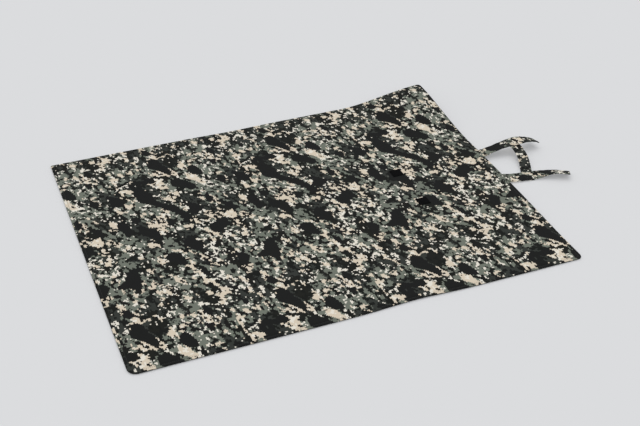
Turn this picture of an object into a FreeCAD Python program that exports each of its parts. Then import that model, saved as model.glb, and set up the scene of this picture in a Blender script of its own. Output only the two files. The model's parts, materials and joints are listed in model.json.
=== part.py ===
# Roll-up padded training mat with two hook-and-loop straps and a carry handle.
#
# The mat lies flat with its printed cover up. The cover, a thin padding and a
# backing are sewn together round the edge. It rolls up from the left end with the
# print outwards, and the two straps at the right end wrap round the roll and press
# onto two loop patches on the print. A short strip sewn under both straps is the
# handle.
#
# Cloth can't bend in a rigid model, so the mat is divided across its length into
# strips, each a quarter turn of the roll. Neighbouring strips meet at a hinge line
# on the underside, and the opening between them is a narrow saw cut at rest.
#
# Frame: millimetres, origin at the middle of the mat's underside, +X towards the
# straps, +Y towards the back strap, +Z up through the print.

import FreeCAD
import Part
import math
import os

# ---- the mat
MAT_LENGTH = 914.4        # 36 in, from the free end to the strap end
MAT_WIDTH = 736.6         # 29 in
COVER_THICKNESS = 0.5     # printed canvas
PADDING_THICKNESS = 3.0   # closed-cell foam sheet
BACKING_THICKNESS = 0.5   # dark woven backing
SEAM_ALLOWANCE = 8.0      # turned-in edge, where there is no padding
LIP_SPLIT = 0.5           # share of the edge's height taken by the backing's turned lip
CORNER_RADII = {"front_left": 18.0, "front_right": 11.0, "back_left": 4.0, "back_right": 8.0}

# ---- the roll
STRIP_COUNT = 13          # quarter turns, counted from the free end
ROLL_CLEARANCE = 1.0      # air between two layers of the roll
HINGE_GAP = 0.3           # saw cut between two strips at rest

# ---- straps and handle
STRAP_WIDTH = 32.0
STRAP_THICKNESS = 1.8     # two layers of the print, folded and stitched flat
STRAP_LENGTH = 152.0      # from the mat's edge to the tip
BACK_STRAP_Y = 51.0
FRONT_STRAP_Y = -56.5
FRONT_STRAP_YAW = -8.0    # degrees, swung towards the front
BACK_STRAP_RISE = 11.5    # degrees, how far the back strap arches up at rest
BACK_TAIL_DROP = 12.0     # degrees below level, the back strap's tail at rest
FOLD_THICKNESS = 0.6      # a strap pressed flat along a crease
FOLD_CLEARANCE = 0.4      # air beside a crease when the strap is turned square
WRAP_CLEARANCE = 0.3      # between the roll's side and the handle when the straps are wrapped

HANDLE_WIDTH = 25.0
HANDLE_THICKNESS = 1.8
HANDLE_AT_FRONT = 58.0    # along the front strap, from the mat's edge
HANDLE_TO_CREASE = 4.0    # from the handle's outer edge to the back strap's pressed fold
HANDLE_BOW = 12.0         # how far the handle's middle stands outside a straight line
HANDLE_UNDER = 11.0       # how far it runs past the middle of each strap

# ---- hook-and-loop patches and box stitches
PATCH_SIZE = 25.4         # 1 in square
LOOP_THICKNESS = 1.2
HOOK_THICKNESS = 1.0
PATCH_EDGE_MARGIN = 3.0   # from the hook patch to the strap's tip
PRESS_CLEARANCE = 0.3     # from the hooks to the loops when the straps are wrapped
BACK_LOOP = (209.9, 51.0)     # in from the strap end, and across
FRONT_LOOP = (205.5, -71.4)
STITCH_BOX = 20.0
THREAD_WIDTH = 0.8
THREAD_HEIGHT = 0.3

# ---- worked out from the sizes above
MAT_THICKNESS = BACKING_THICKNESS + PADDING_THICKNESS + COVER_THICKNESS
LEFT_EDGE = -MAT_LENGTH / 2
RIGHT_EDGE = MAT_LENGTH / 2
LIP_Z = MAT_THICKNESS * LIP_SPLIT
ROLL_PITCH = MAT_THICKNESS + ROLL_CLEARANCE
STRAP_MID_Z = HANDLE_THICKNESS + STRAP_THICKNESS / 2   # the handle lies flat under the straps
TONGUE_END = 0.05                                  # from a pressed tongue to its crease
FOLD_START = FOLD_THICKNESS / 2 + FOLD_CLEARANCE   # from a crease to the solid that turns
FOLD_BACK = STRAP_THICKNESS / 2 + FOLD_CLEARANCE   # from the full thickness to its crease


def strip_edges():
    """X of each hinge line and both ends. Each strip is half a pitch longer than the
    one before, which is what keeps the layers of a square spiral a pitch apart."""
    step = ROLL_PITCH / 2
    first = (MAT_LENGTH - step * STRIP_COUNT * (STRIP_COUNT - 1) / 2) / STRIP_COUNT
    edges = [LEFT_EDGE]
    for k in range(STRIP_COUNT):
        edges.append(edges[-1] + first + k * step)
    return edges


EDGES = strip_edges()
SIDE_STRIP = EDGES[-2] - EDGES[-3]     # the roll's height, hinge to hinge
FOOT_STRIP = EDGES[-3] - EDGES[-4]     # the strip under the roll
ROLL_SIDE_X = EDGES[-2] + FOOT_STRIP + MAT_THICKNESS
# The straps turn about a line far enough out for the handle to lie against the roll.
ROOT_PIVOT_X = max(RIGHT_EDGE + FOLD_BACK,
                   ROLL_SIDE_X + STRAP_THICKNESS / 2 + HANDLE_THICKNESS + WRAP_CLEARANCE)
# The straps crease where they meet the underside of the roll, one loop patch and one
# hook patch below the print.
CREASE_REACH = (STRAP_MID_Z + SIDE_STRIP + MAT_THICKNESS + LOOP_THICKNESS + HOOK_THICKNESS
                + PRESS_CLEARANCE + STRAP_THICKNESS / 2)
CREASE_X = ROOT_PIVOT_X + CREASE_REACH
HANDLE_AT_BACK = CREASE_X - RIGHT_EDGE - FOLD_BACK - HANDLE_TO_CREASE - HANDLE_WIDTH / 2


def vector(x, y, z=0.0):
    return FreeCAD.Vector(x, y, z)


def prism(points, z_low, z_high):
    """A flat plate with the given corners in plan."""
    corners = [vector(x, y, z_low) for x, y in points]
    wire = Part.makePolygon(corners + corners[:1])
    return Part.Face(wire).extrude(vector(0, 0, z_high - z_low))


def block(x_low, x_high, y_low, y_high, z_low, z_high):
    return Part.makeBox(x_high - x_low, y_high - y_low, z_high - z_low, vector(x_low, y_low, z_low))


def joined(shapes):
    """One solid from touching shapes, with the seams between their faces removed."""
    solid = shapes[0].multiFuse(shapes[1:]).removeSplitter()
    return solid.Solids[0] if len(solid.Solids) == 1 else solid


def turned(shape, angle, x, z=STRAP_MID_Z):
    """The shape turned down by an angle in degrees about a crosswise line."""
    return shape.rotated(vector(x, 0, z), vector(0, 1, 0), angle)


# ---------------------------------------------------------------- the mat's layers

def mat_face(inset):
    """The mat's outline in plan, moved inwards, with its four corners rounded."""
    left, right = LEFT_EDGE + inset, RIGHT_EDGE - inset
    front, back = -MAT_WIDTH / 2 + inset, MAT_WIDTH / 2 - inset
    radius = {name: max(r - inset, 1.0) for name, r in CORNER_RADII.items()}
    corners = [
        (left, front, 1, 1, radius["front_left"]),
        (right, front, -1, 1, radius["front_right"]),
        (right, back, -1, -1, radius["back_right"]),
        (left, back, 1, -1, radius["back_left"]),
    ]
    edges = []
    ends = []
    for x, y, to_x, to_y, r in corners:
        along_x, along_y = vector(x + to_x * r, y), vector(x, y + to_y * r)
        cut = r * (1 - math.sqrt(0.5))
        middle = vector(x + to_x * cut, y + to_y * cut)
        first, last = (along_y, along_x) if to_x * to_y > 0 else (along_x, along_y)
        edges.append(Part.Arc(first, middle, last).toShape())
        ends.append((first, last))
    for k in range(4):
        edges.append(Part.LineSegment(ends[k][1], ends[(k + 1) % 4][0]).toShape())
    return Part.Face(Part.Wire(Part.__sortEdges__(edges)))


def layer(face, x_low, x_high, z_low, z_high):
    """The part of an outline between two hinge lines, as a plate."""
    plate = face.extrude(vector(0, 0, z_high - z_low)).translated(vector(0, 0, z_low))
    window = block(x_low, x_high, -MAT_WIDTH, MAT_WIDTH, z_low, z_high)
    return plate.common(window).Solids[0]


def skin(x_low, x_high, flat, lip):
    """A cloth layer with its edge turned in: a thin plate and the folded lip round it."""
    outer, inner = mat_face(0.0), mat_face(SEAM_ALLOWANCE)
    rim = layer(outer, x_low, x_high, *lip).cut(layer(inner, x_low, x_high, *lip))
    return joined([layer(outer, x_low, x_high, *flat)] + rim.Solids)


def strip(k):
    """The cover, padding and backing of one strip."""
    gap_left = HINGE_GAP / 2 if k > 0 else 0.0
    gap_right = HINGE_GAP / 2 if k < STRIP_COUNT - 1 else 0.0
    span = (EDGES[k] + gap_left, EDGES[k + 1] - gap_right)
    top = MAT_THICKNESS - COVER_THICKNESS
    cover = skin(*span, flat=(top, MAT_THICKNESS), lip=(LIP_Z, top))
    backing = skin(*span, flat=(0.0, BACKING_THICKNESS), lip=(BACKING_THICKNESS, LIP_Z))
    padding = layer(mat_face(SEAM_ALLOWANCE), *span, BACKING_THICKNESS, top)
    return cover, padding, backing


# ---------------------------------------------------------------- straps and handle

def strap_middle(root_y, yaw, x):
    """Y of a strap's middle line at a given X."""
    return root_y + (x - RIGHT_EDGE) * math.tan(math.radians(yaw))


def strap_run(root_y, yaw, x_low, x_high, thickness):
    """A length of flat strap between two crosswise lines."""
    half = STRAP_WIDTH / 2 / math.cos(math.radians(yaw))
    y_low, y_high = (strap_middle(root_y, yaw, x) for x in (x_low, x_high))
    points = [(x_low, y_low - half), (x_high, y_high - half), (x_high, y_high + half), (x_low, y_low + half)]
    return prism(points, STRAP_MID_Z - thickness / 2, STRAP_MID_Z + thickness / 2)


def strap_root(root_y, yaw):
    """The end of the strap that is pressed flat and caught in the mat's seam."""
    return strap_run(root_y, yaw, RIGHT_EDGE - SEAM_ALLOWANCE, ROOT_PIVOT_X - TONGUE_END, FOLD_THICKNESS)


def strap_arm(root_y, yaw):
    """The strap from the mat's edge to its crease, pressed flat at the crease."""
    full = strap_run(root_y, yaw, ROOT_PIVOT_X + FOLD_START, CREASE_X - FOLD_BACK, STRAP_THICKNESS)
    tongue = strap_run(root_y, yaw, CREASE_X - FOLD_BACK, CREASE_X - TONGUE_END, FOLD_THICKNESS)
    return joined([full, tongue])


def along_strap(root_y, yaw, distance):
    """The point of the strap's middle line at a distance from the mat's edge."""
    angle = math.radians(yaw)
    return RIGHT_EDGE + distance * math.cos(angle), root_y + distance * math.sin(angle)


def square_on_strap(root_y, yaw, distance, size, z_low, z_high):
    """A square plate in line with the strap, centred at a distance from the edge."""
    x, y = along_strap(root_y, yaw, distance)
    plate = block(x - size / 2, x + size / 2, y - size / 2, y + size / 2, z_low, z_high)
    return plate.rotated(vector(x, y, 0), vector(0, 0, 1), yaw)


def strap_tail(root_y, yaw):
    """The free end of the strap beyond its crease, cut square at the tip."""
    angle = math.radians(yaw)
    tip_x, tip_y = along_strap(root_y, yaw, STRAP_LENGTH)
    side_x, side_y = -math.sin(angle) * STRAP_WIDTH / 2, math.cos(angle) * STRAP_WIDTH / 2
    half = STRAP_WIDTH / 2 / math.cos(angle)
    start_x = CREASE_X + FOLD_START
    start_y = strap_middle(root_y, yaw, start_x)
    points = [
        (start_x, start_y - half),
        (tip_x - side_x, tip_y - side_y),
        (tip_x + side_x, tip_y + side_y),
        (start_x, start_y + half),
    ]
    return prism(points, STRAP_MID_Z - STRAP_THICKNESS / 2, STRAP_MID_Z + STRAP_THICKNESS / 2)


def hook_patch(root_y, yaw):
    """The hook patch on the underside of a tail."""
    centre = STRAP_LENGTH - PATCH_EDGE_MARGIN - PATCH_SIZE / 2
    under = STRAP_MID_Z - STRAP_THICKNESS / 2
    return square_on_strap(root_y, yaw, centre, PATCH_SIZE, under - HOOK_THICKNESS, under)


def loop_patch(from_strap_end, y):
    x, half = RIGHT_EDGE - from_strap_end, PATCH_SIZE / 2
    return block(x - half, x + half, y - half, y + half, MAT_THICKNESS, MAT_THICKNESS + LOOP_THICKNESS)


def box_stitch(root_y, yaw, distance):
    """The square of thread with a cross in it that sews the handle to a strap."""
    low = STRAP_MID_Z + STRAP_THICKNESS / 2
    high = low + THREAD_HEIGHT
    x, y = along_strap(root_y, yaw, distance)
    outer, inner = STITCH_BOX / 2, STITCH_BOX / 2 - THREAD_WIDTH
    frame = block(x - outer, x + outer, y - outer, y + outer, low, high)
    frame = frame.cut(block(x - inner, x + inner, y - inner, y + inner, low, high))
    reach = inner * math.sqrt(2) + THREAD_WIDTH / 2
    bar = block(x - reach, x + reach, y - THREAD_WIDTH / 2, y + THREAD_WIDTH / 2, low, high)
    cross = [bar.rotated(vector(x, y, 0), vector(0, 0, 1), turn) for turn in (45, 135)]
    return joined([frame] + cross).rotated(vector(x, y, 0), vector(0, 0, 1), yaw)


def handle():
    """A curved strip in plan that lies under both straps and bows away from the mat."""
    front_x, front_y = along_strap(FRONT_STRAP_Y, FRONT_STRAP_YAW, HANDLE_AT_FRONT)
    start = vector(front_x, front_y - HANDLE_UNDER)
    end = vector(RIGHT_EDGE + HANDLE_AT_BACK, BACK_STRAP_Y + HANDLE_UNDER)
    outwards = vector(end.y - start.y, start.x - end.x).normalize()
    middle = (start + end) * 0.5 + outwards * HANDLE_BOW
    centre = Part.Arc(start, middle, end).toShape().Curve.Center
    sides = []
    for half in (-HANDLE_WIDTH / 2, HANDLE_WIDTH / 2):
        moved = [p + (p - centre).normalize() * half for p in (start, middle, end)]
        sides.append((Part.Arc(*moved).toShape(), moved))
    caps = [Part.LineSegment(sides[0][1][k], sides[1][1][k]).toShape() for k in (0, 2)]
    outline = Part.Wire(Part.__sortEdges__([sides[0][0], sides[1][0]] + caps))
    top = STRAP_MID_Z - STRAP_THICKNESS / 2
    return Part.Face(outline).extrude(vector(0, 0, HANDLE_THICKNESS)).translated(vector(0, 0, top - HANDLE_THICKNESS))


def raised(shape):
    """Turns a piece of the back strap up into its arch."""
    return turned(shape, -BACK_STRAP_RISE, ROOT_PIVOT_X)


def dropped(shape):
    """Turns a piece of the back strap's tail down at the crease, then up with the arch."""
    return raised(turned(shape, BACK_STRAP_RISE + BACK_TAIL_DROP, CREASE_X))


# ---------------------------------------------------------------- all pieces

def build():
    parts = {}
    for k in range(STRIP_COUNT):
        number = f"{k + 1:02d}"
        parts["cover_" + number], parts["padding_" + number], parts["backing_" + number] = strip(k)

    front, back = (FRONT_STRAP_Y, FRONT_STRAP_YAW), (BACK_STRAP_Y, 0.0)
    last = f"{STRIP_COUNT:02d}"
    for name, place in (("front", front), ("back", back)):
        root = strap_root(*place)
        parts[name + "_strap_root"] = root
        parts["cover_" + last] = parts["cover_" + last].cut(root).Solids[0]
    parts["front_loop_patch"] = loop_patch(*FRONT_LOOP)
    parts["back_loop_patch"] = loop_patch(*BACK_LOOP)

    parts["front_strap"] = strap_arm(*front)
    parts["front_strap_tail"] = strap_tail(*front)
    parts["front_hook_patch"] = hook_patch(*front)
    parts["front_box_stitch"] = box_stitch(*front, HANDLE_AT_FRONT)
    parts["handle"] = handle()

    parts["back_strap"] = raised(strap_arm(*back))
    parts["back_strap_tail"] = dropped(strap_tail(*back))
    parts["back_hook_patch"] = dropped(hook_patch(*back))
    parts["back_box_stitch"] = raised(box_stitch(*back, HANDLE_AT_BACK))
    return parts


def main():
    os.makedirs("parts", exist_ok=True)
    for name, shape in build().items():
        shape.exportStep(f"parts/{name}.step")
    print(f"hinge lines at {[round(x, 3) for x in EDGES[1:-1]]}")
    print(f"root pivot x {ROOT_PIVOT_X:.3f}, crease x {CREASE_X:.3f}, both at z {STRAP_MID_Z}")


main()
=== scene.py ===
"""Roll-up padded mat for a dog, with two hook-and-loop straps and a carry handle.

The mat is three layers sewn round the edge: a printed canvas cover, a thin foam sheet
and a dark woven backing. Every layer is built in lengths that run from the middle of
one strip to the middle of the next, so that each length spans one crease.

All sizes are metres, except in the tables of sections and of the bands' middle lines,
which are in millimetres. U and V are cloth coordinates: the distance along the mat from
its free end, and across it from its front edge.
"""

import json
import math

import bpy
import numpy as np
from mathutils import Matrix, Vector


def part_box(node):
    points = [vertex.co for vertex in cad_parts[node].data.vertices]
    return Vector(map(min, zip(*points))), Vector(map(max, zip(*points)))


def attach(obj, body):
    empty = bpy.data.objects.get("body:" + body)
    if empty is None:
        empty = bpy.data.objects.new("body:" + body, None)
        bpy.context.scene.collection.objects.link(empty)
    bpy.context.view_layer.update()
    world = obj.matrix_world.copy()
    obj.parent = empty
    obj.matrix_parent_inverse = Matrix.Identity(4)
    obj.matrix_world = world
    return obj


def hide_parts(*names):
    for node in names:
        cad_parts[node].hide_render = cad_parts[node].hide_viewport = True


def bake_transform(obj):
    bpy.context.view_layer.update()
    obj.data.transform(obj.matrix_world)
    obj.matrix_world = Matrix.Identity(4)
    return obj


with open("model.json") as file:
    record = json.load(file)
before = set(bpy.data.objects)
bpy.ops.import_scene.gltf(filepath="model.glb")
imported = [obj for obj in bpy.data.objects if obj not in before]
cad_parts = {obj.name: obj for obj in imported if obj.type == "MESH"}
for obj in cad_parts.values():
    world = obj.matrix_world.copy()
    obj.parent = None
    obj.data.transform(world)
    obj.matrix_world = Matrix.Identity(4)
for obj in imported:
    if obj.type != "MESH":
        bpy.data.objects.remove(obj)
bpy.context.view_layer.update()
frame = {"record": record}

MM = 0.001
JOINTS = {j["name"]: j for j in frame["record"]["behaviour"]["joints"]}
STRIP_COUNT = sum(name.startswith("crease_") for name in JOINTS) + 1
CREASES = [JOINTS[f"crease_{k:02d}"]["pos_m"][0] for k in range(1, STRIP_COUNT)]
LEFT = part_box("cover_01")[0].x
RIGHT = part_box(f"cover_{STRIP_COUNT:02d}")[1].x
FRONT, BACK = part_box("cover_01")[0].y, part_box("cover_01")[1].y
LENGTH, WIDTH = RIGHT - LEFT, BACK - FRONT
STRIP_ENDS = [LEFT] + CREASES + [RIGHT]
MIDDLES = [(a + b) / 2 - LEFT for a, b in zip(STRIP_ENDS, STRIP_ENDS[1:])]   # of each strip, as U

CORNER_RADII = {"front_left": 18 * MM, "front_right": 11 * MM,
                "back_left": 4 * MM, "back_right": 8 * MM}
CORNER_REACH = 30 * MM    # past this the edges run straight
STITCH_INSET = 6 * MM     # topstitching, in from the edge
FABRIC = 0.45 * MM        # thickness of the cover and of the backing
GRID = 6 * MM             # mesh spacing away from edges and creases
FOLD_ANGLE = math.radians(50)   # mesh edges sharper than this are drawn sharp


# ---------------------------------------------------------------- small maths

def smooth(x):
    """A ramp from 0 to 1 with level ends: 3x squared less 2x cubed."""
    x = np.clip(x, 0.0, 1.0)
    return x * x * (3 - 2 * x)


def bell(x, middle, spread):
    """A bell curve of height 1."""
    return np.exp(-(((x - middle) / spread) ** 2))


def unit(v):
    return v / np.linalg.norm(v, axis=-1, keepdims=True)


# ---------------------------------------------------------------- meshes

def mesh_object(name, vertices, faces, uv, material):
    """A smooth-shaded mesh with its cloth coordinates as a UV map."""
    mesh = bpy.data.meshes.new(name)
    mesh.from_pydata(vertices.tolist(), [], faces)
    layer = mesh.uv_layers.new(name="flat_metres")
    corner = np.empty(len(mesh.loops), np.int32)
    mesh.loops.foreach_get("vertex_index", corner)
    layer.data.foreach_set("uv", uv[corner].astype(np.float32).ravel())
    mesh.polygons.foreach_set("use_smooth", np.ones(len(mesh.polygons), bool))
    mesh.materials.append(material)
    obj = bpy.data.objects.new(name, mesh)
    bpy.context.scene.collection.objects.link(obj)
    return obj


def closed_skin(name, outer, inner, uv, material):
    """Two grids of the same shape, one above the other, joined round their rims and sharp
    at folds. The outer grid's faces point up and the inner grid's down."""
    rows, columns = outer.shape[:2]
    index = np.arange(rows * columns).reshape(rows, columns)
    a, b, c, d = index[:-1, :-1], index[1:, :-1], index[1:, 1:], index[:-1, 1:]
    top = np.stack([a, b, c, d], -1).reshape(-1, 4)
    under = top[:, ::-1] + rows * columns
    loop = np.concatenate([index[:-1, 0], index[-1, :-1], index[:0:-1, -1], index[0, :0:-1]])
    after = np.roll(loop, -1)
    wall = np.stack([after, loop, loop + rows * columns, after + rows * columns], -1)
    faces = np.concatenate([top, under, wall])
    vertices = np.concatenate([outer.reshape(-1, 3), inner.reshape(-1, 3)])
    flat = np.concatenate([uv.reshape(-1, 2), uv.reshape(-1, 2)])
    obj = mesh_object(name, vertices, faces.tolist(), flat, material)
    obj.data.set_sharp_from_angle(angle=FOLD_ANGLE)
    return obj


def stitches(name, centre, along, out, length, width, height, material):
    """Short lengths of thread, one for each row of centre. Each is a six-sided spindle
    laid along the seam, whose ends dip into the cloth."""
    rings, sides = 5, 6
    step = np.linspace(-1, 1, rings)
    girth = np.sqrt(np.clip(1 - (step * 0.93) ** 2, 0, 1)) ** 0.7
    turn = np.arange(sides) * math.pi / 3
    lengthwise = np.repeat(step * length / 2, sides)
    dip = np.repeat(step ** 2, sides) * height * 0.55
    local = np.stack([lengthwise,
                      (girth[:, None] * np.cos(turn) * width / 2).ravel(),
                      (girth[:, None] * np.sin(turn) * height / 2).ravel() - dip], -1)
    across = unit(np.cross(out, along))
    vertices = (centre[:, None] + local[None, :, :1] * along[:, None]
                + local[None, :, 1:2] * across[:, None] + local[None, :, 2:] * out[:, None])

    ring = np.arange(sides)
    after = (ring + 1) % sides
    wall = np.concatenate([np.stack([ring, ring + sides, after + sides, after], -1) + sides * k
                           for k in range(rings - 1)])[:, ::-1]
    caps = np.stack([ring[::-1], ring + sides * (rings - 1)])
    count = len(centre)
    first = (np.arange(count) * rings * sides)[:, None, None]
    faces = (wall[None] + first).reshape(-1, 4).tolist() + (caps[None] + first).reshape(-1, sides).tolist()
    uv = np.tile(np.stack([lengthwise, np.tile(turn * width / 2, rings)], -1), (count, 1))
    return mesh_object(name, vertices.reshape(-1, 3), faces, uv, material)


# ---------------------------------------------------------------- materials

def linear(hex_colour):
    """An sRGB hex colour as linear light."""
    channels = [int(hex_colour[i:i + 2], 16) / 255 for i in (0, 2, 4)]
    return tuple(c / 12.92 if c <= 0.04045 else ((c + 0.055) / 1.055) ** 2.4 for c in channels) + (1.0,)


def add(tree, kind, settings=None, links=None):
    """One node, with its settings, and its inputs set to values or linked to sockets."""
    node = tree.nodes.new(kind)
    for key, value in (settings or {}).items():
        setattr(node, key, value)
    for key, value in (links or {}).items():
        if isinstance(value, bpy.types.NodeSocket):
            tree.links.new(value, node.inputs[key])
        else:
            node.inputs[key].default_value = value
    return node


def calc(tree, operation, a, b=0.0, c=0.0):
    return add(tree, "ShaderNodeMath", {"operation": operation}, {0: a, 1: b, 2: c}).outputs[0]


def mix_colour(tree, factor, a, b):
    return add(tree, "ShaderNodeMix", {"data_type": "RGBA"}, {0: factor, 6: a, 7: b}).outputs[2]


def new_material(name):
    material = bpy.data.materials.new(name)
    material.use_nodes = True
    tree = material.node_tree
    tree.nodes.clear()
    shader = add(tree, "ShaderNodeBsdfPrincipled")
    add(tree, "ShaderNodeOutputMaterial", links={0: shader.outputs[0]})
    return material, tree, shader


def weave(tree, place, pitch):
    """Height of a plain weave: over and under threads as two crossed rows of waves."""
    turns = add(tree, "ShaderNodeVectorMath", {"operation": "SCALE"},
                {0: place, "Scale": math.pi / pitch}).outputs[0]
    parts = add(tree, "ShaderNodeSeparateXYZ", links={0: turns})
    return calc(tree, "MULTIPLY", calc(tree, "SINE", parts.outputs[0]), calc(tree, "SINE", parts.outputs[1]))


def cloth_place(tree):
    """The point of flat cloth that is drawn, in metres."""
    return add(tree, "ShaderNodeUVMap", {"uv_map": "flat_metres"}).outputs[0]


def finish_surface(tree, shader, colour, values, height, strength, distance):
    """Give a surface its colour, its plain values, and relief too fine to model."""
    tree.links.new(colour, shader.inputs["Base Color"])
    for key, value in values.items():
        shader.inputs[key].default_value = value
    bump = add(tree, "ShaderNodeBump", links={"Strength": strength, "Distance": distance, "Height": height})
    tree.links.new(bump.outputs[0], shader.inputs["Normal"])


CELL = 2.7 * MM         # one square of the print
COLUMNS = 104           # squares along the mat after which the print repeats
ROWS, SHIFT = 203, 40   # squares across it, and squares along that it has then moved
BLOTCH = 3.3 * MM       # length that the blotches' scales are counted in
SQUEEZE = 0.66          # share of the scale kept across the mat, where blotches are longer


def printed_canvas():
    """Cotton and polyester canvas, plain woven, printed with square-edged camouflage in
    grey green, tan, cream and near black. It is matte with hardly any sheen. The print is
    smooth noise on a ring in each direction, which makes it repeat, read once a square."""
    material, tree, shader = new_material("printed_canvas")
    place = cloth_place(tree)
    parts = add(tree, "ShaderNodeSeparateXYZ", links={0: place})
    column = calc(tree, "FLOOR", calc(tree, "DIVIDE", parts.outputs[0], CELL))
    row = calc(tree, "FLOOR", calc(tree, "DIVIDE", parts.outputs[1], CELL))
    turns_row = calc(tree, "DIVIDE", row, ROWS)
    turns_column = calc(tree, "DIVIDE", calc(tree, "MULTIPLY_ADD", turns_row, SHIFT, column), COLUMNS)
    angle_c = calc(tree, "MULTIPLY", turns_column, 2 * math.pi)
    angle_r = calc(tree, "MULTIPLY", turns_row, 2 * math.pi)
    radius_c = COLUMNS * CELL / BLOTCH / (2 * math.pi)
    radius_r = ROWS * CELL / BLOTCH / (2 * math.pi) * SQUEEZE
    ring = add(tree, "ShaderNodeCombineXYZ", links={
        0: calc(tree, "MULTIPLY", calc(tree, "COSINE", angle_c), radius_c),
        1: calc(tree, "MULTIPLY", calc(tree, "SINE", angle_c), radius_c),
        2: calc(tree, "MULTIPLY", calc(tree, "COSINE", angle_r), radius_r)}).outputs[0]
    ring_w = calc(tree, "MULTIPLY", calc(tree, "SINE", angle_r), radius_r)

    def blotches(scale, away, detail=0.0):
        """Noise of one scale, moved away so that no two are alike."""
        spot = add(tree, "ShaderNodeVectorMath", {"operation": "ADD"}, {0: ring, 1: away}).outputs[0]
        return add(tree, "ShaderNodeTexNoise", {"noise_dimensions": "4D", "normalize": True},
                   {"Vector": spot, "W": ring_w, "Scale": scale, "Detail": detail,
                    "Roughness": 0.6}).outputs[0]

    def ink(level, *terms):
        """Where a colour is printed: its blotches, added in these shares, pass a level."""
        out = 0.0
        for value, share in terms:
            out = calc(tree, "MULTIPLY_ADD", value, share, out)
        return calc(tree, "GREATER_THAN", out, level * sum(share for _, share in terms))

    cell = add(tree, "ShaderNodeCombineXYZ", links={0: column, 1: row}).outputs[0]
    specks = add(tree, "ShaderNodeTexWhiteNoise", {"noise_dimensions": "2D"}, {"Vector": cell}).outputs[0]
    ragged = blotches(0.5, (61, 45, 17), 1.0)
    frayed = blotches(0.5, (91, 15, 57), 1.0)
    broad = blotches(0.082, (3, 5, 7), 1.0)
    slate = ink(0.49, (blotches(0.11, (203, 155, 37)), 1.0), (ragged, 0.5))
    green = ink(0.496, (blotches(0.08, (103, 55, 37), 1.0), 1.0),
                (blotches(0.2, (131, 15, 127)), 0.3), (ragged, 0.15), (specks, 0.05))
    tan = ink(0.541, (blotches(0.13, (3, 5, 7), 1.0), 1.2),
              (blotches(0.33, (31, 15, 27)), 0.5), (frayed, 0.2), (specks, 0.07))
    cream = ink(0.59, (broad, 0.6), (blotches(0.55, (331, 75, 7)), 1.0), (specks, 0.2))
    holes = ink(0.565, (blotches(0.48, (39, 45, 217)), 1.0),
                (broad, -0.2), (frayed, 0.25), (specks, 0.08))
    black = ink(0.575, (blotches(0.1, (19, 245, 117)), 1.0), (frayed, 0.2))
    colour = linear("1b1c18")
    for printed, hex_colour in ((slate, "343733"), (green, "71766b"), (tan, "d9ccb7"),
                                (cream, "e8e2d4"), (holes, "151714"), (black, "181918")):
        colour = mix_colour(tree, printed, colour, linear(hex_colour))

    # canvas threads are about 0.5 mm apart; drawn at 1.1 mm so that they show
    height = calc(tree, "MULTIPLY", weave(tree, place, 1.1 * MM), 0.5)
    lumps = add(tree, "ShaderNodeTexNoise", links={"Vector": place, "Scale": 90.0, "Detail": 3.0}).outputs[0]
    height = calc(tree, "MULTIPLY_ADD", lumps, 1.4, height)
    finish_surface(tree, shader, colour, {"Roughness": 0.9, "Specular IOR Level": 0.15},
                   height, 0.5, 0.12 * MM)
    return material


def dark_backing():
    """Black polyester pack cloth, plain woven from 0.6 mm threads, with a low sheen."""
    material, tree, shader = new_material("black_pack_cloth")
    pattern = weave(tree, cloth_place(tree), 1.2 * MM)   # twice the real pitch, so that it shows
    shade = calc(tree, "MULTIPLY_ADD", pattern, 0.35, 0.5)
    finish_surface(tree, shader, mix_colour(tree, shade, linear("131315"), linear("232426")),
                   {"Roughness": 0.72, "Sheen Weight": 0.06}, pattern, 0.6, 0.15 * MM)
    return material


def foam():
    """White closed-cell polyethylene foam, 3 mm sheet: fine bubbles and a soft skin."""
    material, tree, shader = new_material("polyethylene_foam")
    cells = add(tree, "ShaderNodeTexVoronoi", links={"Vector": cloth_place(tree), "Scale": 900.0}).outputs[0]
    finish_surface(tree, shader, mix_colour(tree, cells, linear("c9c8c0"), linear("e4e3dc")),
                   {"Roughness": 0.6, "Subsurface Weight": 0.1, "Subsurface Scale": 1 * MM},
                   cells, 0.4, 0.2 * MM)
    return material


def thread():
    """Spun polyester sewing thread, two plies twisted, black."""
    material, tree, shader = new_material("spun_polyester_thread")
    parts = add(tree, "ShaderNodeSeparateXYZ", links={0: cloth_place(tree)})
    # one twist of the plies every 1.1 mm
    slant = calc(tree, "MULTIPLY_ADD", parts.outputs[1], 1.0, parts.outputs[0])
    twist = calc(tree, "SINE", calc(tree, "MULTIPLY", slant, 2 * math.pi / (1.1 * MM)))
    shade = calc(tree, "MULTIPLY_ADD", twist, 0.4, 0.5)
    finish_surface(tree, shader, mix_colour(tree, shade, linear("0f1110"), linear("292c2a")),
                   {"Roughness": 0.55}, twist, 0.5, 0.05 * MM)
    return material


def pile(name, low, high, roughness, scale):
    """Nylon hook-and-loop tape: dark, with the speckle of many fibres."""
    material, tree, shader = new_material(name)
    speckle = add(tree, "ShaderNodeTexNoise",
                  links={"Vector": cloth_place(tree), "Scale": scale, "Detail": 4.0}).outputs[0]
    finish_surface(tree, shader, mix_colour(tree, speckle, linear(low), linear(high)),
                   {"Roughness": roughness, "Specular IOR Level": 0.1}, speckle, 0.8, 0.25 * MM)
    return material


CANVAS, BACKING_CLOTH, FOAM, THREAD = printed_canvas(), dark_backing(), foam(), thread()
LOOP_PILE = pile("brushed_nylon_loop", "020202", "0b0b0c", 1.0, 700.0)
HOOK_PILE = pile("nylon_hook_tape", "050506", "161618", 0.5, 900.0)


# ---------------------------------------------------------------- the mat's shape

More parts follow.
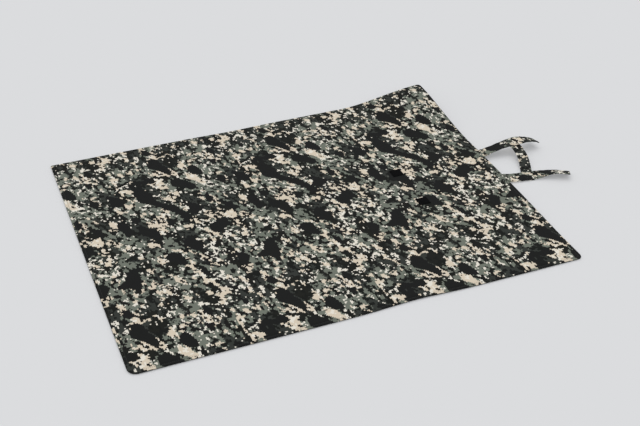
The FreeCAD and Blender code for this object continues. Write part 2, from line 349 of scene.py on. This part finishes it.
def section(points_mm):
    """A section through the mat's edge: (inset, height) points from the seam inwards,
    returned as distance along the cloth, inset and height."""
    inset, height = np.array(points_mm, float).T * MM
    run = np.concatenate([[0], np.cumsum(np.hypot(np.diff(inset), np.diff(height)))])
    return run, inset, height


def pushed_in(edge, thickness):
    """The other face of a cloth: each point moved square to the section."""
    run, inset, height = edge
    slope = unit(np.stack([np.gradient(inset, run), np.gradient(height, run)], -1))
    return run, inset + slope[:, 1] * thickness, height - slope[:, 0] * thickness


COVER_OUT = section([(0, 2.1), (.19, 2.73), (.7, 3.18), (1.4, 3.36), (2.6, 3.44), (4, 3.32), (5, 3.04),
                     (5.6, 2.86), (6, 2.8), (6.4, 2.88), (7, 3.1), (8.2, 3.45), (9.6, 3.72),
                     (11.5, 3.92), (14, 4), (18, 4.02), (24, 4)])
COVER_IN = pushed_in(COVER_OUT, FABRIC)
BACKING_OUT = section([(0, 2.0), (.06, 1.2), (.35, .5), (.95, .1), (1.6, 0), (2.6, 0), (4, 0), (5.2, .02),
                       (6, .14), (6.8, .02), (7.6, 0), (9, 0), (11.5, 0), (14, 0), (24, 0)])
BACKING_IN = pushed_in(BACKING_OUT, -FABRIC)
PADDING_TOP = section([(8.2, 1.98), (8.5, 2.55), (9.2, 2.95), (11, 3.3), (14, 3.46), (24, 3.5)])
PADDING_UNDER = section([(8.2, 1.78), (8.5, 1.05), (9.2, .62), (11, .52), (14, .5), (24, .5)])


def relief(u, v):
    """How far the lying mat stands off the floor: its strap end curls up a little and
    the back right corner more, a hump runs in from the middle of the front edge, and
    there are long shallow waves."""
    corner = 25.5 * MM * smooth((u - 0.70) / 0.21) * smooth((v - 0.47) / 0.265)
    end = (4 * MM * smooth((u - 0.845) / 0.07) * smooth((v - 0.06) / 0.2)
           * (1 - 0.6 * smooth((v - 0.45) / 0.2)))
    hump = 0.4 * MM * bell(u, 0.565, 0.06) * (1 - smooth(v / 0.11))
    waves = 0.08 * MM * (1 + np.sin(u * 19 + 1.3 * np.sin(v * 9)) * np.sin(v * 14 + 2 + u * 5))
    return corner + end + hump + waves


def outline(u, v):
    """How far the sewn outline strays from a true rectangle, along and across."""
    along = 2.5 * MM * bell(v, 0.42, 0.22) * smooth((u - 0.8) / 0.1)
    back_edge = -3 * MM * bell(u, 0.42, 0.07) * smooth((v - 0.6) / 0.13)
    front_edge = 4.5 * MM * bell(u, 0.55, 0.075) * (1 - smooth(v / 0.12))
    return along, back_edge + front_edge


def puckers(u, v, inset):
    """Small gathers beside the topstitching, about 20 mm apart."""
    pitch, along = 0.0205, u + v
    wave = (np.sin(along * 2 * math.pi / pitch + 2.2 * np.sin(along * 31))
            * (0.6 + 0.4 * np.sin(along * 47)))
    return 0.2 * MM * wave * (bell(inset, 3.4 * MM, 2 * MM) + 0.9 * bell(inset, 10.5 * MM, 3.2 * MM))


def mat_point(U, V, edge, gathers=0.0):
    """Where a point of one face of the mat lies. U and V are cloth coordinates, edge is
    that face's section. Near one edge the section gives inset and height from the
    distance to it. Near a corner the smaller distance gives the section's point, and
    the larger one says how far along the rounded corner's inner line it lies."""
    run, inset, height = edge
    first, last = run[0], run[-1]
    extra = last - inset[-1]         # cloth taken up by the turned edge
    from_left, from_right = U + extra, LENGTH - U + extra
    from_front, from_back = V + extra, WIDTH - V + extra
    su, sv = np.minimum(from_left, from_right), np.minimum(from_front, from_back)
    right, back = from_right < from_left, from_back < from_front

    def inset_of(s):
        return np.where(s < last, np.interp(s, run, inset), s - extra)

    s, other = np.minimum(su, sv), np.maximum(su, sv)
    m, z = inset_of(s), np.where(s < last, np.interp(s, run, height), height[-1])
    r = np.where(right, np.where(back, CORNER_RADII["back_right"], CORNER_RADII["front_right"]),
                 np.where(back, CORNER_RADII["back_left"], CORNER_RADII["front_left"]))
    reach = CORNER_REACH + extra
    near_corner = other < reach
    share = np.where(near_corner, (other - s) / np.maximum(reach - s, 1e-9), 1.0)
    arc = math.pi / 4 * np.maximum(r - m, 0)
    way = share * np.where(m < r, arc + CORNER_REACH - r, CORNER_REACH - m)
    turn = math.pi / 4 - way / np.maximum(r - m, 1e-9)
    on_arc = (m < r) & (way < arc)
    small = np.where(on_arc, r - (r - m) * np.cos(turn), m)
    large = np.where(on_arc, r - (r - m) * np.sin(turn), np.where(m < r, r + way - arc, m + way))
    large = np.where(near_corner, large, inset_of(other))
    iu, iv = np.where(su <= sv, small, large), np.where(su <= sv, large, small)
    u, v = np.where(right, LENGTH - iu, iu), np.where(back, WIDTH - iv, iv)
    z = z + relief(u, v) + gathers * puckers(u, v, m)
    du, dv = outline(u, v)
    return np.stack([LEFT + u + du, FRONT + v + dv, z], -1)


def lines(edge, start, end, size, open_start, open_end, step, creases=()):
    """Grid lines from start to end in cloth coordinates: the section's own points near an
    open (sewn) edge, every 2 mm to 8 mm from a crease, and an even step between."""
    run, inset, _ = edge
    extra = run[-1] - inset[-1]
    fixed = []
    if open_start:
        fixed += list(run - extra)
    if open_end:
        fixed += list(size - (run - extra))
    low = (run[-1] - extra) if open_start else start
    high = (size - run[-1] + extra) if open_end else end
    middle = list(np.linspace(low, high, max(2, int(round((high - low) / step)) + 1)))
    for crease in creases:
        middle = [m for m in middle if abs(m - crease) > 9.5 * MM or m in (low, high)]
        middle += list(crease + np.arange(-8, 8.1, 2) * MM)
    return np.unique(np.round(np.array(fixed + middle), 7))


def bend_at_crease(obj):
    """Bake a length's placement into its points."""
    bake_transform(obj)


def mat_layer(kind, k, top, under, material, gathers):
    """One layer of one length, from the middle of strip k to the middle of the next. The
    first and last lengths run out to the mat's ends."""
    is_first, is_last = k == 1, k == STRIP_COUNT - 1
    start = 0 if is_first else MIDDLES[k - 1]
    end = LENGTH if is_last else MIDDLES[k]
    u = lines(top, start, end, LENGTH, is_first, is_last, GRID, [CREASES[k - 1] - LEFT])
    v = lines(top, 0, WIDTH, WIDTH, True, True, GRID)
    U, V = np.meshgrid(u, v, indexing="ij")
    outer = mat_point(U, V, top, gathers)
    inner = mat_point(U, V, under, gathers)
    if kind == "backing":
        outer, inner = inner, outer
    obj = closed_skin(f"{kind}_length_{k:02d}", outer, inner, np.stack([U, V], -1), material)
    bend_at_crease(obj)
    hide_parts(f"{kind}_{k:02d}", *([f"{kind}_{k + 1:02d}"] if is_last else []))
    return obj, end - start


def mat():
    """Cover, padding and backing. The padding's two faces share their points in plan."""
    padding_under = (PADDING_TOP[0], PADDING_TOP[1], PADDING_UNDER[2])
    for k in range(1, STRIP_COUNT):
        cover, long = mat_layer("cover", k, COVER_OUT, COVER_IN, CANVAS, 1.0)
        backing, _ = mat_layer("backing", k, BACKING_OUT, BACKING_IN, BACKING_CLOTH, 0.0)
        padding, _ = mat_layer("padding", k, PADDING_TOP, padding_under, FOAM, 0.0)


def rows_of_stitches(U, V, along_u, along_v, edge, gathers, up):
    """Middle, direction and outward side of a stitch at each cloth point."""
    centre = mat_point(U, V, edge, gathers)
    hop = 0.8 * MM      # the direction is taken over this far to both sides
    along = unit(mat_point(U + along_u * hop, V + along_v * hop, edge, gathers)
                 - mat_point(U - along_u * hop, V - along_v * hop, edge, gathers))
    out = np.zeros_like(along)
    out[:, 2] = up
    out -= along * (out * along).sum(-1, keepdims=True)
    return centre, along, unit(out)


def topstitching():
    """One line of stitches round the mat, seen above and below, in the same lengths as
    the cloth."""
    pitch, lift = 3.6 * MM, 0.06 * MM
    long, wide, high = 3.0 * MM, 0.75 * MM, 0.4 * MM
    for side, edge, up in (("top", COVER_OUT, 1.0), ("under", BACKING_OUT, -1.0)):
        extra = edge[0][-1] - edge[1][-1]
        near = np.interp(STITCH_INSET, edge[1], edge[0]) - extra   # the line's cloth coordinate
        gathers = 1.0 if side == "top" else 0.0
        for k in range(1, STRIP_COUNT):
            start = near if k == 1 else MIDDLES[k - 1]
            end = LENGTH - near if k == STRIP_COUNT - 1 else MIDDLES[k]
            count = int(round((end - start) / pitch))
            u = start + (np.arange(count) + 0.5) * (end - start) / count
            U = np.concatenate([u, u])
            V = np.concatenate([u * 0 + near, u * 0 + WIDTH - near])
            along = np.tile([[1.0, 0.0]], (len(U), 1))
            if k in (1, STRIP_COUNT - 1):
                rows = int((WIDTH - 2 * near) / pitch)
                v = near + (np.arange(rows) + 0.5) * (WIDTH - 2 * near) / rows
                U = np.concatenate([U, v * 0 + (near if k == 1 else LENGTH - near)])
                V = np.concatenate([V, v])
                along = np.concatenate([along, np.tile([[0.0, 1.0]], (rows, 1))])
            centre, ahead, out = rows_of_stitches(U, V, along[:, 0], along[:, 1], edge, gathers, up)
            obj = stitches(f"topstitch_{side}_{k:02d}", centre + out * lift, ahead, out,
                           long, wide, high, THREAD)
            bend_at_crease(obj)


mat()
topstitching()


# ---------------------------------------------------------------- straps and handle

STRAP_WIDTH, STRAP_THICK = 32 * MM, 1.8 * MM
HANDLE_WIDTH, HANDLE_THICK = 25 * MM, 1.8 * MM
EDGE_STITCH = 3 * MM           # a band's stitching, in from its edge
HOOK_SIZE, HOOK_THICK = 25.4 * MM, 1 * MM
HOOK_BACK = 15.7 * MM          # from a strap's tip to its hook patch's middle
FRONT_CUT, BACK_CUT = 0.503, 0.512         # x where each strap's last piece begins
FRONT_BOX, BACK_BOX = 0.5146, 0.5367       # x of the middle of each box stitch
ARM_START, ARM_END = 0.4665, 0.4765        # x between which the back strap bends to flatten


def path(points_mm, step=1.4 * MM):
    """A smooth line through points (x, y, z, lean in degrees, thickness share): cubic
    pieces whose slope at a point is that of the chord between its neighbours."""
    p = np.array(points_mm, float)
    p[:, :3] *= MM
    t = np.concatenate([[0], np.cumsum(np.linalg.norm(np.diff(p[:, :3], axis=0), axis=1))])
    slope = np.gradient(p, t, axis=0)
    s = np.linspace(0, t[-1], int(t[-1] / step) + 1)
    i = np.clip(np.searchsorted(t, s, "right") - 1, 0, len(t) - 2)
    h = (t[i + 1] - t[i])[:, None]
    x = (s - t[i])[:, None] / h
    return s, ((1 + 2 * x) * (1 - x) ** 2 * p[i] + x * (1 - x) ** 2 * h * slope[i]
               + x * x * (3 - 2 * x) * p[i + 1] - x * x * (1 - x) * h * slope[i + 1])


def band_frame(line):
    """Direction, width direction and face direction along a band, leaned by its angle."""
    ahead = unit(np.gradient(line[:, :3], axis=0))
    level = unit(np.stack([-ahead[:, 1], ahead[:, 0], ahead[:, 0] * 0], -1))
    face = np.cross(ahead, level)
    lean = np.radians(line[:, 3:4])
    across = level * np.cos(lean) + face * np.sin(lean)
    return ahead, across, face * np.cos(lean) - level * np.sin(lean)


def along_band(line, s, at):
    """The line's rows at these distances, and the three directions of its frame there."""
    rows = np.stack([np.interp(at, s, line[:, i]) for i in range(5)], -1)
    frame_at = [unit(np.stack([np.interp(at, s, f[:, i]) for i in range(3)], -1))
                for f in band_frame(line)]
    return rows, frame_at


def rounded(inset):
    """The thickness share of a rim that is rounded off over 0.9 mm."""
    x = np.clip(inset / (0.9 * MM), 0, 1)
    return np.sqrt(np.clip(1 - (1 - x) ** 2, 0, 1))


def sway(s, seed):
    """How far a band strays sideways from its line, s along it."""
    return 0.3 * MM * np.sin(s * 75 + seed * 3)


def half_thickness(w, width, thick):
    """Half the thickness of a folded band at w from its middle: rounded at both folds and
    drawn in at the two lines of stitching."""
    inset = width / 2 - np.abs(w)
    drawn_in = (1 - 0.34 * bell(inset, EDGE_STITCH, 0.8 * MM)
                + 0.05 * bell(inset, 1.4 * MM, 0.8 * MM))
    return thick / 2 * (0.14 + 0.86 * rounded(inset)) * drawn_in


def band_point(line, frame_at, w, face, width, thick, seed):
    """A point of a band's upper face (face 1) or lower face (face -1)."""
    _, across, out = frame_at
    length = np.linalg.norm(np.diff(line[:, :3], axis=0), axis=1).sum()
    s = np.linspace(0, 1, len(line))[:, None] * length
    wave = np.sin(s * 2 * math.pi / 0.017 + seed + 2 * np.sin(s * 60 + seed))
    ripple = 0.22 * MM * wave * bell(width / 2 - np.abs(w), 1 * MM, 3 * MM)
    off = face * half_thickness(w, width, thick) * line[:, 4:5] + ripple * line[:, 4:5]
    return (line[:, None, :3] + across[:, None] * (w + sway(s, seed))[..., None]
            + out[:, None] * off[..., None])


def band(name, line, width, thick, patch_at, seed):
    """A length of folded, edge-stitched canvas and the stitches on it."""
    inset = np.array([0, .1, .3, .6, 1, 1.5, 2.1, 2.6, 3, 3.4, 3.9, 4.8, 6.5, 9]) * MM
    w = np.concatenate([-width / 2 + inset, [0], (width / 2 - inset)[::-1]])[None]
    frame_at = band_frame(line)
    upper = band_point(line, frame_at, w, 1, width, thick, seed)
    lower = band_point(line, frame_at, w, -1, width, thick, seed)
    s = np.concatenate([[0], np.cumsum(np.linalg.norm(np.diff(line[:, :3], axis=0), axis=1))])
    uv = np.stack(np.broadcast_arrays(s[:, None] + patch_at[0], w + patch_at[1]), -1)
    cloth = closed_skin(name, upper, lower, uv, CANVAS)
    pitch = 3.2 * MM
    at = np.arange(1.6 * MM, s[-1] - 1 * MM, pitch)
    rows, (ahead_at, across_at, out_at) = along_band(line, s, at)
    centre, ahead, out = [], [], []
    for side in (-1, 1):
        for face in (1, -1):
            ws = side * (width / 2 - EDGE_STITCH)
            depth = half_thickness(np.array(ws), width, thick) * rows[:, 4] + 0.05 * MM
            centre.append(rows[:, :3] + across_at * (ws + sway(at, seed))[:, None]
                          + out_at * (face * depth)[:, None])
            ahead.append(ahead_at)
            out.append(out_at * face)
    seam = stitches(name + "_stitching", np.concatenate(centre), np.concatenate(ahead),
                    np.concatenate(out), 2.6 * MM, 0.5 * MM, 0.34 * MM, THREAD)
    return cloth, seam


def cut(line, s, low, high):
    keep = (s >= low - 1e-9) & (s <= high + 1e-9)
    return line[keep]


def at_x(line, s, x):
    """How far along a line it passes x."""
    return float(np.interp(x, line[:, 0], s))


def nearest_row(s, value):
    return s[np.argmin(np.abs(s - value))]


def tie(pieces):
    for piece in pieces:
        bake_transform(piece)


def box_stitch(name, line, s, middle, body, node):
    """Thread sewn in a square with a cross through a strap and the handle under it, seen
    on both faces."""
    half, pitch = 10 * MM, 2.9 * MM
    corners = np.array([(-half, -half), (half, -half), (half, half), (-half, half)])
    spots, ways = [], []
    for first, last in ((0, 1), (1, 2), (2, 3), (3, 0), (0, 2), (1, 3)):
        a, b = corners[first], corners[last]
        count = max(1, int(round(np.linalg.norm(b - a) / pitch)))
        t = (np.arange(count)[:, None] + 0.5) / count
        spots += list(a + (b - a) * t)
        ways += [unit(b - a)] * count
    spots, ways = np.array(spots), np.array(ways)
    at = middle + spots[:, 0]
    rows, (ahead_at, across_at, out_at) = along_band(line, s, at)
    centre, ahead, out = [], [], []
    for face, deep in ((1, STRAP_THICK / 2), (-1, STRAP_THICK / 2 + HANDLE_THICK)):
        centre.append(rows[:, :3] + across_at * spots[:, 1:] + out_at * face * (deep + 0.02 * MM))
        ahead.append(unit(ahead_at * ways[:, :1] + across_at * ways[:, 1:]))
        out.append(out_at * face)
    seam = stitches(name, np.concatenate(centre), np.concatenate(ahead), np.concatenate(out),
                    2.4 * MM, 0.6 * MM, 0.42 * MM, THREAD)
    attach(seam, body)
    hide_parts(node)


def pile_patch(name, centre, along, across, out, size, height, material, body, node, seed):
    """A square of hook-and-loop tape: a rounded pad with an uneven pile."""
    n = 56      # points along each side, closer together near the rim
    t = np.linspace(-1, 1, n)
    t = np.sign(t) * (1 - (1 - np.abs(t)) ** 1.25)
    X, Y = np.meshgrid(t, t, indexing="ij")
    inset = (1 - np.maximum(np.abs(X), np.abs(Y))) * size / 2
    edge = rounded(inset)
    rng = np.random.default_rng(seed)
    fuzz = rng.random((n, n)) * 0.3 * MM * (inset > 1.2 * MM)
    top = height * (0.25 + 0.75 * edge) - fuzz * edge - 0.35 * MM * bell(inset, 2 * MM, 0.7 * MM)
    ragged = 1 + rng.normal(0, 0.006, (n, n)) * (inset < 0.2 * MM)
    x, y = (X * ragged)[..., None], (Y * ragged)[..., None]
    place = centre + x * size / 2 * along + y * size / 2 * across
    obj = closed_skin(name, place + top[..., None] * out, place + out * 0.05 * MM,
                      np.stack([X, Y], -1) * size / 2, material)
    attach(obj, body)
    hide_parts(node)


# x, y, z in mm of the middle of the band, lean in degrees and thickness share
FRONT_LINE = [(449, -55.3, 4.6, 0, .3), (455, -56.2, 4.9, 0, .35), (459.2, -56.8, 4.7, 0, .8),
              (466, -57.8, 4.0, 0, 1), (480, -60.4, 2.9, 0, 1), (497, -63.4, 2.75, 0, 1),
              (522, -67.0, 2.8, 0, 1), (540, -70, 3.8, -5, 1), (552.1, -72.8, 5.4, -11, 1),
              (568, -78, 7.6, -17, 1), (585, -86.5, 8.0, -20, 1), (600, -95.5, 7.2, -20, 1)]
BACK_LINE = [(449, 51, 5.0, 0, .3), (455, 51, 5.4, 0, .35), (459.2, 51, 6.2, -2, .8),
             (466, 51, 8.2, -5, 1), (474, 51, 10, -7, 1), (490, 51, 13.2, -9, 1),
             (508.6, 51, 17.2, -8, 1), (526.5, 51, 19.4, -4, 1), (545, 51, 21.0, 0, 1),
             (558, 51, 21.2, -2, 1), (572, 51, 19.6, -7, 1), (587, 51, 16, -10, 1),
             (600, 51, 10.5, -10, 1)]
HANDLE_LINE = [(507.0, -79, 1.0, 0, 1), (509.5, -71, 1.0, 0, 1), (512.8, -60.5, 1.2, 0, 1),
               (520.5, -42, 3.2, 2, 1), (530, -20, 7.2, 4, 1), (536.5, 4, 12.0, 3, 1),
               (538, 28, 16.6, 1, 1), (537.4, 44, 18.5, 0, 1), (536.8, 58, 18.9, 0, 1),
               (536.6, 64, 18.9, 0, 1)]


def strap_piece(name, line, s, low, high, patch_at, seed):
    """The band between two distances along a strap, which keeps the strap's print."""
    patch = (patch_at[0] + low, patch_at[1])
    return band(name, cut(line, s, low, high), STRAP_WIDTH, STRAP_THICK, patch, seed)


def tie_root(pieces):
    tie(pieces)


def tie_tail(pieces):
    tie(pieces)


def straps():
    s, line = path(FRONT_LINE)
    total = s[-1]
    half_way = nearest_row(s, at_x(line, s, FRONT_CUT))
    run = strap_piece("front_strap_run", line, s, 0, half_way, (0.11, 0.31), 1.0)
    tie_root(run)
    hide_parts("front_strap_root", "front_strap")
    tail = strap_piece("front_strap_end", line, s, half_way, total, (0.11, 0.31), 4.0)
    tie_tail(tail)
    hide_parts("front_strap_tail")
    box_stitch("front_box_thread", line, s, at_x(line, s, FRONT_BOX), "front_strap", "front_box_stitch")
    hook_under("front", line, s, total - HOOK_BACK, "front_tail")

    s, line = path(BACK_LINE)
    total = s[-1]
    arm_at, tail_at = nearest_row(s, at_x(line, s, ARM_START)), nearest_row(s, at_x(line, s, BACK_CUT))
    root = strap_piece("back_strap_seam_end", line, s, 0, arm_at, (0.4, 0.52), 2.0)
    tie_root(root)
    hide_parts("back_strap_root")
    arm = strap_piece("back_strap_run", line, s, arm_at, tail_at, (0.4, 0.52), 2.0)
    tie(arm)
    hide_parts("back_strap")
    tail = strap_piece("back_strap_end", line, s, tail_at, total, (0.4, 0.52), 2.0)
    tie_tail(tail)
    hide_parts("back_strap_tail")
    box_stitch("back_box_thread", line, s, at_x(line, s, BACK_BOX), "back_strap", "back_box_stitch")
    hook_under("back", line, s, total - HOOK_BACK, "back_tail")

    s, line = path(HANDLE_LINE)
    handle = band("carry_handle", line, HANDLE_WIDTH, HANDLE_THICK, (0.2, 0.13), 3.0)
    tie(handle)
    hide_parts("handle")


def hook_under(side, line, s, at, body):
    """The hook patch on a strap's underside near its tip, following the strap's lean."""
    here, (ahead, across, out) = along_band(line, s, at)
    pile_patch(f"{side}_hook_tape", here[:3] - out * STRAP_THICK * 0.46, ahead, -across, -out,
               HOOK_SIZE, HOOK_THICK, HOOK_PILE, body, f"{side}_hook_patch", 7)


def loop_patches():
    for side, seed in (("front", 11), ("back", 12)):
        low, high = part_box(f"{side}_loop_patch")
        middle = (low + high) / 2
        rise = relief(middle.x - LEFT, middle.y - FRONT)
        pile_patch(f"{side}_loop_tape", np.array([middle.x, middle.y, low.z + rise]),
                   np.array([1.0, 0, 0]), np.array([0, 1.0, 0]), np.array([0, 0, 1.0]),
                   high.x - low.x, high.z - low.z, LOOP_PILE, "strip_11",
                   f"{side}_loop_patch", seed)


straps()
loop_patches()


# ---------------------------------------------------------------- light, floor, camera

def studio():
    """A pale room, one broad soft lamp, and a floor of frosted acrylic. The floor lets a
    third of what lies under it through, because the mat hangs below it when it is rolled
    up, and its colour is worked out so that it is as bright as the room."""
    scene = bpy.context.scene
    scene.view_settings.view_transform = "Standard"
    world = bpy.data.worlds.new("pale_room")
    scene.world = world
    world.use_nodes = True
    room = linear("dbdcde")
    world.node_tree.nodes["Background"].inputs[0].default_value = room

    lamp_from, lamp_power = Vector((0.5, 1.2, 2.4)), 0.85
    sun = bpy.data.lights.new("broad_lamp", "SUN")
    sun.energy, sun.angle = lamp_power, math.radians(60)
    lamp = bpy.data.objects.new("broad_lamp", sun)
    scene.collection.objects.link(lamp)
    lamp.rotation_euler = (-lamp_from).to_track_quat("-Z", "Y").to_euler()

    size, below = 3.0, 0.4 * MM     # half the floor's side, and how far it lies under z = 0
    floor_mesh = bpy.data.meshes.new("floor")
    floor_mesh.from_pydata([(-size, -size, -below), (size, -size, -below), (size, size, -below),
                            (-size, size, -below)], [], [(0, 1, 2, 3)])
    floor = bpy.data.objects.new("floor", floor_mesh)
    scene.collection.objects.link(floor)
    material, _, shader = new_material("frosted_acrylic")
    from_lamp = lamp_power * lamp_from.normalized().z / math.pi
    shader.inputs["Base Color"].default_value = [c / (c + from_lamp) for c in room[:3]] + [1.0]
    shader.inputs["Roughness"].default_value = 1.0
    shader.inputs["Specular IOR Level"].default_value = 0.0
    shader.inputs["Alpha"].default_value = 0.65
    floor_mesh.materials.append(material)

    camera = bpy.data.objects.new("camera", bpy.data.cameras.new("camera"))
    scene.collection.objects.link(camera)
    camera.data.lens, camera.data.sensor_width = 61.3, 36
    azimuth, elevation = math.radians(-21.86), math.radians(34.24)
    look_at, distance = Vector((0.034, -0.026, 0)), 2.287
    back = Vector((math.sin(azimuth) * math.cos(elevation),
                   -math.cos(azimuth) * math.cos(elevation), math.sin(elevation)))
    camera.location = look_at + back * distance
    camera.rotation_euler = (-back).to_track_quat("-Z", "Y").to_euler()
    scene.camera = camera


studio()
